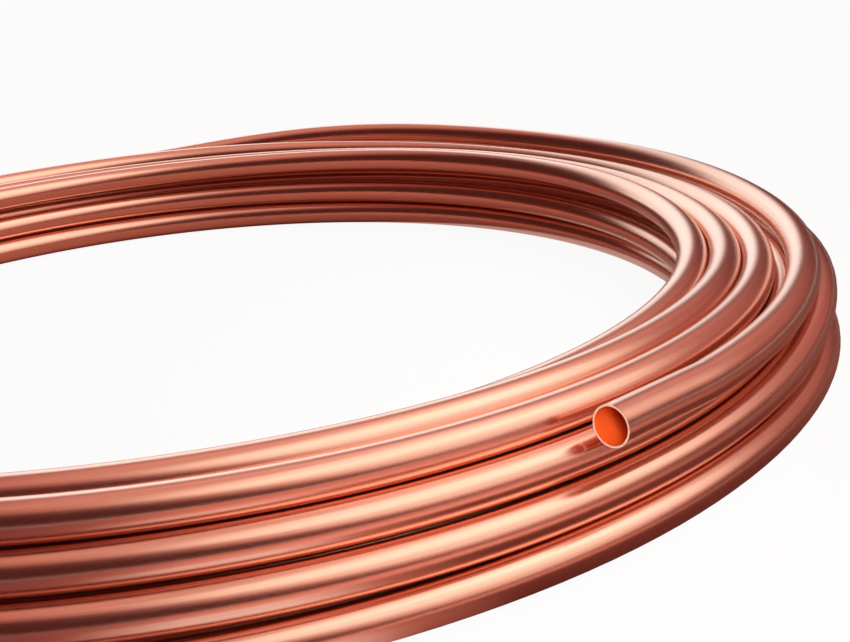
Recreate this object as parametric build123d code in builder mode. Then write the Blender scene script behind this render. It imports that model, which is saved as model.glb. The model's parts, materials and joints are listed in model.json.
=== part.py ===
from build123d import *
import math
import os

# Coil of soft copper tube, lying flat, in millimetres.
# The origin is at floor level in the middle of the bottom outer turn, +Z up.
# The tube was wound in stacked rows of turns. The packed turns are one turned solid whose
# section has the outline of the turns. The outer turns of the two lower rows are looser and
# lie off to the right and the back, and the last turn lies over all, with its cut end open.

# The tube
tube_diameter = 15.0
tube_wall = 0.7

# A turn's round outline is drawn with this many flat sides, which stand just outside the circle
turn_sides = 8
side_offset = 0.05

# Each row of packed turns, from the floor up: how many there are, the centre radius of the
# inner one and the gap between one turn and the next
row_turns = [3, 2, 2, 3]
row_inner_radii = [270.0, 271.5, 281.5, 269.5]
row_gaps = [3.0, 17.0, 12.5, 0.0]

# How far each row above the first sinks in between the turns under it
row_sinks = [0.5, 2.0, 3.5]

# The loose outer turns of the first and the second row: how far the middle of each lies off
# the coil's axis to the right and to the back, and how the second one lies higher than its
# row and climbs at the right
bottom_loose_right = 6.5
bottom_loose_back = 9.0
second_loose_right = 5.5
second_loose_back = 4.0
second_loose_lift = 2.5
second_loose_climb = 7.0

# The last turn: its gap to the top row's outer turn, the direction from the coil's axis in
# which it is highest, as degrees from +X, and how high its centre is over that row there
last_turn_gap = 4.7
peak_direction = 55.0
last_turn_rise = 8.0

# Where the last turn's curve ends, short of the cut end: its height over the top row and how
# far round it is from the highest place
free_end_rise = 2.8
free_end_angle = 111.7

# The other way round from its highest place the last turn goes down in among the packed turns,
# to a place this far under the top row's outer turn
tuck_depth = 16.0
tuck_angle = 55.0

# The straight stretch up to the cut end, and how far the open bore runs in from the cut
tail_length = 50.0
bore_depth = 47.0

tube_radius = tube_diameter / 2
bore_radius = tube_radius - tube_wall
side_radius = tube_radius + side_offset

# The coil's axis, at floor level
coil_middle = Vector(-bottom_loose_right, -bottom_loose_back, 0)

row_heights = [side_radius]
for sink in row_sinks:
    row_heights.append(row_heights[-1] + tube_diameter - sink)


def turn_centres(row):
    """The centre of each turn of one row, as radius and height, from the inside out."""
    spacing = tube_diameter + row_gaps[row]
    return [(row_inner_radii[row] + turn * spacing, row_heights[row]) for turn in range(row_turns[row])]


def turn_outline():
    """The outline of one turn, with a flat side at its top, its bottom and both its sides."""
    RegularPolygon(side_radius, turn_sides, major_radius=False, rotation=180 / turn_sides)


def loose_turn(row, right, back, lift, climb):
    """A whole turn round the outside of this row, with its middle this far to the right, to
    the back and up. It climbs this much more at the right."""
    radius = rows[row][-1][0] + tube_diameter + back
    middle = coil_middle + Vector(right, back, row_heights[row] + lift)
    lean = math.degrees(math.asin(climb / radius))
    outward = Vector(1, 0, 0).rotate(Axis.Y, -lean)
    with BuildSketch(Plane(middle + outward * radius, x_dir=outward, z_dir=(0, -1, 0))) as section:
        turn_outline()
    revolve(section.sketch, axis=Axis(middle, Vector(0, 0, 1).rotate(Axis.Y, -lean)))


def leaned_circle(angle, end_height, end_radius):
    """A circle through the last turn's peak that comes down to this height and this distance
    from the coil's axis after this angle: its centre and its axis."""
    share = 1 - math.cos(math.radians(angle))
    radius = peak_radius - (peak_radius - end_radius) / share
    lean = math.degrees(math.asin((peak.Z - end_height) / share / radius))
    return peak - peak_outward.rotate(peak_hinge, lean) * radius, Vector(0, 0, 1).rotate(peak_hinge, lean)


rows = [turn_centres(row) for row in range(len(row_heights))]
top_radius, top_height = rows[-1][-1]

# The core's section goes round the outermost turn centres: along the floor, up the
# outside, back along the top and down the inside
outline = rows[0] + [row[-1] for row in rows[1:]] + rows[-1][-2::-1] + [row[0] for row in rows[-2:0:-1]]

# Both stretches of the last turn start level at its highest place, each round an axis
# leaned over so far that the turn comes down to its end
peak_outward = Vector(1, 0, 0).rotate(Axis.Z, peak_direction)
peak_forward = Vector(0, -1, 0).rotate(Axis.Z, peak_direction)
peak_hinge = Axis(Vector(0, 0, 0), peak_forward)
peak_radius = top_radius + tube_diameter + last_turn_gap
peak = coil_middle + peak_outward * peak_radius + Vector(0, 0, top_height + last_turn_rise)
free_centre, free_up = leaned_circle(free_end_angle, top_height + free_end_rise, peak_radius)
tuck_centre, tuck_up = leaned_circle(tuck_angle, top_height - tuck_depth, top_radius)

# The straight tail goes on from the end of the curve
free_turn = Axis(Vector(0, 0, 0), free_up * -1)
bend_end = free_centre + (peak - free_centre).rotate(free_turn, free_end_angle)
tail_direction = peak_forward.rotate(free_turn, free_end_angle)
cut_end = bend_end + tail_direction * tail_length

with BuildPart() as tube_coil:
    # Packed turns
    with BuildSketch(Plane(coil_middle, x_dir=(1, 0, 0), z_dir=(0, -1, 0))):
        with BuildLine():
            Polyline(*outline, close=True)
        make_face()
        for row in rows:
            with Locations(*row):
                turn_outline()
    revolve(axis=Axis(coil_middle, (0, 0, 1)))

    # Loose turns
    loose_turn(0, bottom_loose_right, bottom_loose_back, 0, 0)
    loose_turn(1, second_loose_right, second_loose_back, second_loose_lift, second_loose_climb)

    # Last turn, first to the free end and then down in among the packed turns
    for centre, up, arc in [(free_centre, free_up * -1, free_end_angle), (tuck_centre, tuck_up, tuck_angle)]:
        with BuildSketch(Plane(peak, x_dir=peak_outward, z_dir=peak_forward)):
            turn_outline()
        revolve(axis=Axis(centre, up), revolution_arc=arc)

    # Straight tail
    with BuildSketch(Plane(bend_end, x_dir=free_up, z_dir=tail_direction)):
        Circle(tube_radius)
    extrude(amount=tail_length)

    # Open bore at the cut end
    with BuildSketch(Plane(cut_end, x_dir=free_up, z_dir=tail_direction)):
        Circle(bore_radius)
    extrude(amount=-bore_depth, mode=Mode.SUBTRACT)

tube_coil.part.label = "tube_coil"

os.makedirs("parts", exist_ok=True)
export_step(tube_coil.part, "parts/tube_coil.step")

print("cut end", cut_end, "direction", tail_direction)
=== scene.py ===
import json
import math

import bpy
import numpy as np
from mathutils import Matrix, Vector


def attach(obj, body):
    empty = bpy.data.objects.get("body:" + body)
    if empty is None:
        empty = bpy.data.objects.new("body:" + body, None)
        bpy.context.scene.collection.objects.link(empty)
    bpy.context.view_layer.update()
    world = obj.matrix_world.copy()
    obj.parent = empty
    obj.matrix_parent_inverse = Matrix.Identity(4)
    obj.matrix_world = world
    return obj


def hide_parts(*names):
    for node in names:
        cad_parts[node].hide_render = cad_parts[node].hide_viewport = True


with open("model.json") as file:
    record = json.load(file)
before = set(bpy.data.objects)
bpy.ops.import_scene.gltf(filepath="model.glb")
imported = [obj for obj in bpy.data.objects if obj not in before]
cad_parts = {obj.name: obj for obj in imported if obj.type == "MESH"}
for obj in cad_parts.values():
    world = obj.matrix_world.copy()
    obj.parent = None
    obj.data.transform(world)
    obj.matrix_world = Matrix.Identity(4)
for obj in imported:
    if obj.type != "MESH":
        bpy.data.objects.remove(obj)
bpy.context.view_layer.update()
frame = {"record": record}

# A coil of soft copper tube on a white floor. The real winding is drawn here: one hollow tube from
# its hidden start to its free end. Lengths are in metres, where nothing else is said.
MM = 0.001

# The tube, as wide as the mount at its free end, and how far its bore is drawn from each end
TUBE_RADIUS = frame["record"]["mounts"][0]["dims"]["r_mm"] * MM
WALL = 0.7 * MM
BORE_RADIUS = TUBE_RADIUS - WALL
BORE_DEPTH = 300 * MM

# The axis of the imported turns
COIL_MIDDLE = np.array((-6.5, -9.0, 0)) * MM

# Directions round the coil, seen from above, in degrees from +X towards +Y
FRONT, RIGHT, BACK, LEFT = -90, 0, 90, 180

# The turns in the order in which the tube was wound. Each has the radius and the height of its
# centre, in millimetres, at a few directions.
TURNS = [
    # Bottom row, from the inside out
    {RIGHT: (278, 7.5), BACK: (264, 7.5), LEFT: (266, 7.5), FRONT: (272, 7.5)},
    {RIGHT: (293.5, 7.5), BACK: (281, 7.5), LEFT: (282, 7.5), FRONT: (287.5, 7.5)},
    {RIGHT: (309, 7.5), BACK: (300, 7.5), LEFT: (299, 7.5), FRONT: (303, 7.5)},
    {RIGHT: (336.3, 7.5), 45: (338.5, 7.5), BACK: (337, 7.5), LEFT: (323, 7.5), 255: (322, 7.5),
     FRONT: (320.3, 7.5), -45: (322.9, 7.5)},
    # Second row, from the outside in
    {RIGHT: (330.6, 35.1), BACK: (325.7, 25.9), LEFT: (317, 22), 255: (315.2, 23.2), FRONT: (315.2, 22.8),
     -45: (319.5, 24.0), -20: (328.1, 33.2), 20: (331.2, 34.6)},
    {RIGHT: (300, 22), BACK: (297.5, 22.3), LEFT: (296, 22), FRONT: (296, 21)},
    {RIGHT: (272, 22.9), BACK: (268.2, 22.6), LEFT: (269.5, 22.6), FRONT: (273, 22)},
    # Third row, inner turn
    {RIGHT: (286, 29), 45: (285, 28.8), BACK: (283, 27.5), LEFT: (282, 31), FRONT: (283, 34)},
    # Top row, from the inside out
    {RIGHT: (267.8, 45.9), 45: (268.5, 45.9), BACK: (269.6, 43.2), 110: (270, 42.5), LEFT: (269.6, 42),
     FRONT: (270.5, 42.9)},
    {RIGHT: (283.6, 43.8), 45: (283.7, 43.6), BACK: (284.7, 42.3), 110: (285.1, 41.8), LEFT: (285.9, 43.2),
     FRONT: (284.3, 51)},
    {RIGHT: (298.3, 43.3), 45: (300.1, 44.2), BACK: (301.5, 46.9), 110: (301.3, 46), LEFT: (300, 48),
     255: (300.2, 49.8), FRONT: (300.1, 49.2)},
    # Outer turn of the third row, and the last turn over it
    {RIGHT: (309.3, 33.1), 45: (309.5, 31), BACK: (310, 30), LEFT: (309, 33), 255: (307.5, 36.7),
     FRONT: (307.9, 36.6), -45: (310.2, 34.7)},
    {RIGHT: (318, 48.8), 45: (320.3, 53.2), 68: (320.5, 53.2), 95: (319, 42), 120: (318.5, 41),
     LEFT: (317, 40.5), FRONT: (322, 47.2), -45: (319.3, 46.9)},
]

# A turn's line is made of this many waves round the coil and of its mean, which is this much freer
WAVES = 8
MEAN_FREEDOM = 100.0

# Where, round the left side, the tube shifts from each turn's place to the next one's
SHIFT_FROM = 255
SHIFT_TO = 115

# The cut end's direction round the coil, its radius and height in millimetres, and the straight
# stretch up to it, in degrees round the coil and in steps
FREE_END_DIRECTION = -65.6
FREE_END = (322.9, 48.9)
STRAIGHT = 9.0
STRAIGHT_STEPS = 8

# How strongly turns that cut into each other are pushed apart, how strongly the tube's line is
# smoothed each time, and how often
PUSH = 0.45
SMOOTHING = 0.2
PASSES = 400

# How finely the tube is drawn, along in degrees and around in sides, and from which angle in
# degrees an edge shows sharp
STEP = 2
AROUND = 28
SHARP_FROM = 50

# The places of the tube's three looks among its materials
OUTSIDE, BORE, CUT = 0, 1, 2


def waves(degrees):
    """The mean and the waves that a turn's line is made of, the short ones held down."""
    angle = np.radians(np.asarray(degrees, float))
    columns = [np.full(angle.shape, MEAN_FREEDOM)]
    for wave in range(1, WAVES + 1):
        columns += [np.cos(wave * angle) / wave**2, np.sin(wave * angle) / wave**2]
    return np.stack(columns, -1)


def turn_at(turn, degrees):
    """Radius and height of a turn at these directions, on the smoothest line through its places."""
    places = np.array(list(turn.values()), float)
    return waves(degrees) @ np.linalg.pinv(waves(list(turn))) @ places


def smooth_step(share):
    """This share, kept from 0 to 1, and starting and ending gently."""
    share = np.clip(share, 0, 1)
    return share * share * (3 - 2 * share)


def wound_turns(direction):
    """Radius and height of the tube's centre, one row for each time round, at these directions."""
    rows = []
    for number, turn in enumerate(TURNS):
        place = turn_at(turn, direction)
        before = turn_at(TURNS[max(number - 1, 0)], direction)
        after = turn_at(TURNS[min(number + 1, len(TURNS) - 1)], direction)
        arrived = smooth_step((SHIFT_FROM - direction) / (SHIFT_FROM - SHIFT_TO))[:, None]
        leaving = smooth_step((SHIFT_FROM - 360 - direction) / (SHIFT_FROM - SHIFT_TO))[:, None]
        rows.append(before * (1 - arrived) + place * (arrived - leaving) + after * leaving)
    return np.array(rows)


def settle(rows):
    """Moves turns that cut into each other apart, with the tube off the floor and its line smooth."""
    count = len(rows)
    start = rows.copy()
    width = TUBE_RADIUS * 2 / MM
    for _ in range(PASSES):
        apart = rows[:, None] - rows[None]
        gap = np.linalg.norm(apart, axis=-1)
        gap[np.arange(count), np.arange(count)] = width
        push = np.clip(width - gap, 0, None) * PUSH / np.maximum(gap, 1)
        rows = rows + (apart * push[..., None]).sum(1)
        moved = (rows - start).reshape(-1, 2)
        moved[1:-1] += SMOOTHING * (moved[2:] + moved[:-2] - 2 * moved[1:-1])
        rows = start + moved.reshape(rows.shape)
        rows[..., 1] = np.maximum(rows[..., 1], width / 2)
    return rows


def centre_line():
    """The tube's centre all along, from the hidden start to the free end."""
    direction = LEFT - np.arange(0, 360, STEP)
    rows = settle(wound_turns(direction))
    angle = np.radians(np.concatenate([direction - 360 * number for number in range(len(rows))]))
    radius, height = rows.reshape(-1, 2).T * MM
    curve = np.stack([radius * np.cos(angle), radius * np.sin(angle), height], -1)
    end_angle = math.radians(FREE_END_DIRECTION - 360 * (len(rows) - 1))
    curve = curve[angle > end_angle + math.radians(STRAIGHT)]
    end_radius, end_height = FREE_END
    end = np.array([end_radius * math.cos(end_angle), end_radius * math.sin(end_angle), end_height]) * MM
    share = np.linspace(0, 1, STRAIGHT_STEPS + 1)[1:, None]
    return np.vstack([curve, curve[-1] * (1 - share) + end * share]) + COIL_MIDDLE


def new_object(name, data):
    """An object with this mesh, camera or light, put in the scene."""
    piece = bpy.data.objects.new(name, data)
    bpy.context.scene.collection.objects.link(piece)
    return piece


def tube_mesh(name, path):
    """The hollow tube along this path. Its map has the length along and the share around."""
    along = np.gradient(path, axis=0)
    along /= np.linalg.norm(along, axis=1)[:, None]
    out = np.stack([-along[:, 1], along[:, 0], np.zeros(len(path))], -1)
    out /= np.linalg.norm(out, axis=1)[:, None]
    up = np.cross(along, out)
    turn = np.linspace(0, 2 * math.pi, AROUND, endpoint=False)
    ring = np.cos(turn)[None, :, None] * out[:, None] + np.sin(turn)[None, :, None] * up[:, None]
    travelled = np.concatenate([[0], np.cumsum(np.linalg.norm(np.diff(path, axis=0), axis=1))])

    # The skin comes out of the first bore, goes along the outside and into the last bore
    steps = range(len(path))
    first_bore = [(step, BORE_RADIUS) for step in steps if travelled[step] < BORE_DEPTH]
    outside = [(step, TUBE_RADIUS) for step in steps]
    last_bore = [(step, BORE_RADIUS) for step in steps if travelled[-1] - travelled[step] < BORE_DEPTH]
    sequence = first_bore[::-1] + outside + last_bore[::-1]
    points = np.concatenate([path[step] + ring[step] * radius for step, radius in sequence])
    faces = []
    places = []
    looks = []
    for row in range(len(sequence) - 1):
        (near_step, near_radius), (far_step, far_radius) = sequence[row:row + 2]
        if near_radius != far_radius:
            look = CUT
        else:
            look = BORE if near_radius == BORE_RADIUS else OUTSIDE
        near, far = row * AROUND, (row + 1) * AROUND
        start, end = travelled[near_step], travelled[far_step]
        for side in range(AROUND):
            after = (side + 1) % AROUND
            faces.append((near + side, near + after, far + after, far + side))
            low, high = side / AROUND, (side + 1) / AROUND
            places += [(start, low), (start, high), (end, high), (end, low)]
            looks.append(look)

    # Both bores are closed where they end, deep inside
    last = (len(sequence) - 1) * AROUND
    faces += [tuple(range(AROUND)), tuple(reversed(range(last, last + AROUND)))]
    places += [(0, 0)] * (2 * AROUND)
    looks += [BORE, BORE]

    mesh = bpy.data.meshes.new(name)
    mesh.from_pydata(points.tolist(), [], faces)
    mesh.uv_layers.new(name="tube").data.foreach_set("uv", np.array(places).ravel())
    mesh.polygons.foreach_set("material_index", looks)
    mesh.update()
    for polygon in mesh.polygons:
        polygon.use_smooth = True
    mesh.set_sharp_from_angle(angle=math.radians(SHARP_FROM))
    return new_object(name, mesh)


def new_material(name):
    """A new material, its node tree and its shader."""
    material = bpy.data.materials.new(name)
    material.use_nodes = True
    tree = material.node_tree
    return material, tree, tree.nodes["Principled BSDF"]


def add(tree, kind, inputs=None, **settings):
    """A new node, with these settings and with its inputs set, or linked where an output is given."""
    node = tree.nodes.new("ShaderNode" + kind)
    for name, value in settings.items():
        setattr(node, name, value)
    for name, value in (inputs or {}).items():
        if isinstance(value, bpy.types.NodeSocket):
            tree.links.new(value, node.inputs[name])
        else:
            node.inputs[name].default_value = value
    return node


def ramp(tree, share, colours):
    """A colour ramp along this share, through these colours at these positions."""
    node = add(tree, "ValToRGB", {"Fac": share})
    for position, colour in colours[1:-1]:
        node.color_ramp.elements.new(position)
    for element, (position, colour) in zip(node.color_ramp.elements, colours):
        element.position = position
        element.color = colour
    return node


# Copper
COPPER = (0.96, 0.56, 0.44, 1)
COPPER_STREAK = (0.93, 0.50, 0.38, 1)
# The bore's deep red-orange is partly its matt copper and partly painted light, the colour of light
# bouncing round inside the tube
BORE_COPPER_WITH_PAINTED_BOUNCE = (0.95, 0.13, 0.02, 1)
CUT_COPPER = (0.95, 0.62, 0.48, 1)
DULL_ROUGHNESS = 0.5

# The streaks along the drawn tube: the noise they come from, the values of it where a streak is
# full and where there is none, and how much they stand out
STREAK_NOISE = {"Scale": 7.0, "Detail": 4.0}
STREAK_FULL = 0.35
STREAK_GONE = 0.6
STREAK_RELIEF = {"Strength": 0.06, "Distance": 0.4 * MM}

# The mottling: the noise it comes from, and how the roughness goes with that
SPOT_NOISE = {"Scale": 260.0, "Detail": 3.0}
SPOT_ROUGHNESS = {"From Min": 0.3, "From Max": 0.7, "To Min": 0.21, "To Max": 0.27}


def copper():
    """Bright drawn copper, with fine streaks along the tube and a faint mottling."""
    material, tree, shader = new_material("copper")
    place = add(tree, "SeparateXYZ", {0: add(tree, "UVMap", uv_map="tube").outputs["UV"]})
    around = add(tree, "Math", {0: place.outputs["Y"], 1: 2 * math.pi}, operation="MULTIPLY").outputs[0]
    across = add(tree, "Math", {0: around}, operation="COSINE").outputs[0]
    over = add(tree, "Math", {0: around}, operation="SINE").outputs[0]
    skin = add(tree, "CombineXYZ", {"X": place.outputs["X"], "Y": across, "Z": over}).outputs[0]
    streaks = add(tree, "TexNoise", {"Vector": skin, **STREAK_NOISE}).outputs["Fac"]
    spots = add(tree, "TexNoise", SPOT_NOISE).outputs["Fac"]
    colour = ramp(tree, streaks, [(STREAK_FULL, COPPER_STREAK), (STREAK_GONE, COPPER)])
    rough = add(tree, "MapRange", {"Value": spots, **SPOT_ROUGHNESS})
    relief = add(tree, "Bump", {"Height": streaks, **STREAK_RELIEF})
    shader.inputs["Metallic"].default_value = 1
    tree.links.new(colour.outputs["Color"], shader.inputs["Base Color"])
    tree.links.new(rough.outputs[0], shader.inputs["Roughness"])
    tree.links.new(relief.outputs[0], shader.inputs["Normal"])
    return material


def dull_copper(name, colour):
    """Copper as it is inside the bore and on the sawn rim, where nothing shines, in the colour given; in
    the bore that colour is partly painted light that bounces round inside the tube.
    """
    material, _, shader = new_material(name)
    shader.inputs["Base Color"].default_value = colour
    shader.inputs["Roughness"].default_value = DULL_ROUGHNESS
    return material


path = centre_line()
coil = tube_mesh("copper_tube", path)
coil.data.materials.append(copper())
coil.data.materials.append(dull_copper("bore_copper_with_painted_bounce", BORE_COPPER_WITH_PAINTED_BOUNCE))
coil.data.materials.append(dull_copper("cut_copper", CUT_COPPER))
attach(coil, "root")
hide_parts("tube_coil")

# Floor, which shows this white to the camera and to the copper, and still has the coil's shadow
FLOOR_REACH = 12
FLOOR_COLOUR = (0.9, 0.9, 0.9, 1)
FLOOR_ROUGHNESS = 0.9
CAMERA_WHITE = 0.93
COPPER_WHITE = 0.3


def flat_mesh(name, points, faces):
    """A flat piece of the stage."""
    mesh = bpy.data.meshes.new(name)
    mesh.from_pydata(points, [], faces)
    piece = new_object(name, mesh)
    return piece


def floor_material():
    """Pale and matt, with a share of plain white for what the camera and what the copper sees."""
    material, tree, shader = new_material("floor")
    shader.inputs["Base Color"].default_value = FLOOR_COLOUR
    shader.inputs["Roughness"].default_value = FLOOR_ROUGHNESS
    white = add(tree, "Emission", {"Color": (1, 1, 1, 1), "Strength": 1.0})
    ray = add(tree, "LightPath").outputs
    seen = add(tree, "Math", {0: ray["Is Glossy Ray"], 1: ray["Is Transmission Ray"]}, operation="MAXIMUM")
    shown = add(tree, "Math", {0: seen.outputs[0], 1: COPPER_WHITE}, operation="MULTIPLY")
    shares = {0: ray["Is Camera Ray"], 1: CAMERA_WHITE, 2: shown.outputs[0]}
    share = add(tree, "Math", shares, operation="MULTIPLY_ADD")
    mixed = add(tree, "MixShader", {0: share.outputs[0], 1: shader.outputs[0], 2: white.outputs[0]})
    tree.links.new(mixed.outputs[0], tree.nodes["Material Output"].inputs["Surface"])
    return material


corners = [(x * FLOOR_REACH, y * FLOOR_REACH, 0) for x, y in ((-1, -1), (1, -1), (1, 1), (-1, 1))]
floor = flat_mesh("floor", corners, [(0, 1, 2, 3)])
floor.data.materials.append(floor_material())

# Studio cards that lie on the floor as rings round the origin, which only the copper sees. They are painted
# shade and painted
# reflections: dark where the copper reflects the shaded floor near the coil, tinted where it reflects the
# lit floor. From and to which radius each reaches, and its colour at these directions. Where the last
# number of a colour goes to 0, the bare floor shows.
CARD_HEIGHT = 0.5 * MM
CARD_SIDES = 180
# Card colours: the dark ones are painted shade, the lighter ones painted reflections of the lit floor
PLUM = (0.20, 0.08, 0.16, 1)
DARK_RED = (0.13, 0.04, 0.035, 1)
GREY = (0.55, 0.42, 0.40, 1)
PAINTED_SHADE = (0.10, 0.04, 0.04, 1)
ORANGE = (0.90, 0.48, 0.41, 1)
BROWN = (0.60, 0.32, 0.28, 1)
BARE = (0.60, 0.32, 0.28, 0)
CARDS = [
    (0.005, 0.255, [(0, BROWN)]),
    (0.325, 0.385, [
        (-180, PLUM), (-112, PLUM), (-100, (0.45, 0.20, 0.19, 1)), (-93, BARE), (-87, BARE),
        (-81, (0.40, 0.19, 0.16, 1)), (-74, DARK_RED), (-50, DARK_RED), (-30, (0.25, 0.11, 0.10, 1)),
        (-12, (0.34, 0.18, 0.16, 1)), (6, GREY), (16, GREY), (28, PAINTED_SHADE), (55, PAINTED_SHADE), (67, BARE),
        (103, BARE), (115, PLUM), (180, PLUM),
    ]),
    (0.385, 1.4, [
        (-180, PLUM), (-112, PLUM), (-100, (0.48, 0.22, 0.20, 1)), (-92, ORANGE), (-62, ORANGE),
        (-42, (0.45, 0.22, 0.19, 1)), (-20, (0.28, 0.13, 0.11, 1)), (0, (0.24, 0.13, 0.12, 1)),
        (12, PAINTED_SHADE), (55, PAINTED_SHADE), (67, BARE), (103, BARE), (115, PLUM), (180, PLUM),
    ]),
]


def ring_mesh(name, nearest, farthest):
    """A flat ring just over the floor."""
    turn = np.linspace(0, 2 * math.pi, CARD_SIDES, endpoint=False)
    points = [(radius * math.cos(angle), radius * math.sin(angle), CARD_HEIGHT)
              for radius in (nearest, farthest) for angle in turn]
    faces = [(side, (side + 1) % CARD_SIDES, (side + 1) % CARD_SIDES + CARD_SIDES, side + CARD_SIDES)
             for side in range(CARD_SIDES)]
    return flat_mesh(name, points, faces)


def card_material(name, colours):
    """A matt card of painted shade and painted reflection, of one colour or with its colour by the
    direction from the origin.
    """
    material, tree, shader = new_material(name)
    shader.inputs["Roughness"].default_value = 1
    if len(colours) == 1:
        shader.inputs["Base Color"].default_value = colours[0][1]
        return material
    place = add(tree, "TexCoord").outputs["Object"]
    share = add(tree, "TexGradient", {"Vector": place}, gradient_type="RADIAL").outputs["Fac"]
    tint = ramp(tree, share, [(0.5 + direction / 360, colour) for direction, colour in colours])
    tree.links.new(tint.outputs["Color"], shader.inputs["Base Color"])
    tree.links.new(tint.outputs["Alpha"], shader.inputs["Alpha"])
    return material


for number, (nearest, farthest, colours) in enumerate(CARDS):
    card = ring_mesh("card_%d" % number, nearest, farthest)
    card.data.materials.append(card_material("card_%d" % number, colours))
    card.visible_camera = False
    card.visible_diffuse = False
    card.visible_shadow = False

# Camera: how far it stands in front of the coil's axis and how high, how it is turned in degrees,
# and its focal length in pixels of the photograph
CAMERA_BACK = 656.5 * MM
CAMERA_HEIGHT = 215.0 * MM
YAW, PITCH, ROLL = 11.608, 18.153, -4.390
FOCAL_PIXELS = 1272.9
IMAGE_WIDTH = 850
SENSOR = 36
yaw, pitch, roll = math.radians(YAW), math.radians(PITCH), math.radians(ROLL)
forward = Vector((math.sin(yaw) * math.cos(pitch), math.cos(yaw) * math.cos(pitch), -math.sin(pitch)))
level = Vector((math.cos(yaw), -math.sin(yaw), 0))
over = level.cross(forward)
right = level * math.cos(roll) + over * math.sin(roll)
above = over * math.cos(roll) - level * math.sin(roll)
camera_data = bpy.data.cameras.new("camera")
camera_data.sensor_width = SENSOR
camera_data.lens = FOCAL_PIXELS / IMAGE_WIDTH * SENSOR
camera = new_object("camera", camera_data)
place = Matrix.Translation((COIL_MIDDLE[0], COIL_MIDDLE[1] - CAMERA_BACK, CAMERA_HEIGHT))
camera.matrix_world = place @ Matrix((right, above, -forward)).transposed().to_4x4()
bpy.context.scene.camera = camera

# A soft lamp that looks into the cut end, and doesn't show in the copper. It stands this far out
# from there along the tube, and aside of that by these shares of the same distance.
LAMP_AWAY = 0.28
LAMP_ASIDE = (0.56, -0.86, 0.76)
LAMP_SIZE = 0.25
LAMP_WATTS = 0.18
LAMP_SPREAD = 25
end = Vector(path[-1].tolist())
outwards = Vector((path[-1] - path[-2]).tolist()).normalized()
lamp_data = bpy.data.lights.new("lamp", "AREA")
lamp_data.size = LAMP_SIZE
lamp_data.spread = math.radians(LAMP_SPREAD)
lamp_data.energy = LAMP_WATTS
lamp = new_object("lamp", lamp_data)
lamp.location = end + LAMP_AWAY * (outwards + Vector(LAMP_ASIDE))
lamp.rotation_euler = (lamp.location - end).to_track_quat("Z", "Y").to_euler()
lamp.visible_glossy = False

# The studio's soft lights, the warm ones and the cool ones at the back: the direction of each, in
# degrees from +Y towards +X and up, how far from there it is full and where it ends, in degrees,
# and how bright it is. The warm light is nowhere less than this.
LEAST_WARM = 0.07
WARM_LIGHTS = [
    (95, 79, 20, 52, 0.60),
    (126, 44, 18, 48, 0.98),
    (70, 38, 20, 42, 0.33),
]
COOL_LIGHTS = [
    (-4, 9, 19, 35, 1.22),
    (12, 42, 15, 40, 0.26),
]

# The colour of that light by its brightness
WARM = [
    (0, (1, 0.29, 0.26, 1)),
    (0.2, (1, 0.29, 0.25, 1)),
    (0.44, (1, 0.39, 0.33, 1)),
    (0.62, (1, 0.52, 0.43, 1)),
    (0.85, (1, 0.75, 0.65, 1)),
    (1, (1, 0.88, 0.78, 1)),
]
COOL = [
    (0, (0.9, 0.5, 0.5, 1)),
    (0.5, (0.85, 0.75, 0.75, 1)),
    (1, (0.84, 0.98, 1, 1)),
]


def lit_sky(tree, lights, colours, least):
    """A background of soft lights, never darker than least, with its colour by brightness."""
    sky = add(tree, "TexCoord").outputs["Generated"]
    total = least
    for across, up, full, ends, strength in lights:
        across, up, full, ends = [math.radians(angle) for angle in (across, up, full, ends)]
        towards = (math.sin(across) * math.cos(up), math.cos(across) * math.cos(up), math.sin(up))
        near = add(tree, "VectorMath", {0: sky, 1: towards}, operation="DOT_PRODUCT").outputs["Value"]
        fading = {"From Min": math.cos(ends), "From Max": math.cos(full), "To Min": 0.0, "To Max": strength}
        light = add(tree, "MapRange", {"Value": near, **fading}, interpolation_type="SMOOTHSTEP").outputs[0]
        total = add(tree, "Math", {0: light, 1: total}, operation="ADD").outputs[0]
    tint = ramp(tree, total, colours)
    return add(tree, "Background", {"Color": tint.outputs["Color"], "Strength": total}).outputs[0]


# World: the soft lights, and plain white where the camera sees past the floor
world = bpy.data.worlds.new("world")
bpy.context.scene.world = world
world.use_nodes = True
tree = world.node_tree
warm = lit_sky(tree, WARM_LIGHTS, WARM, LEAST_WARM)
cool = lit_sky(tree, COOL_LIGHTS, COOL, 0.0)
studio = add(tree, "AddShader", {0: warm, 1: cool}).outputs[0]
plain = tree.nodes["Background"]
plain.inputs["Color"].default_value = (1, 1, 1, 1)
plain.inputs["Strength"].default_value = 1
ray = add(tree, "LightPath").outputs
mixed = add(tree, "MixShader", {0: ray["Is Camera Ray"], 1: studio, 2: plain.outputs[0]})
tree.links.new(mixed.outputs[0], tree.nodes["World Output"].inputs["Surface"])

bpy.context.scene.view_settings.view_transform = "Standard"
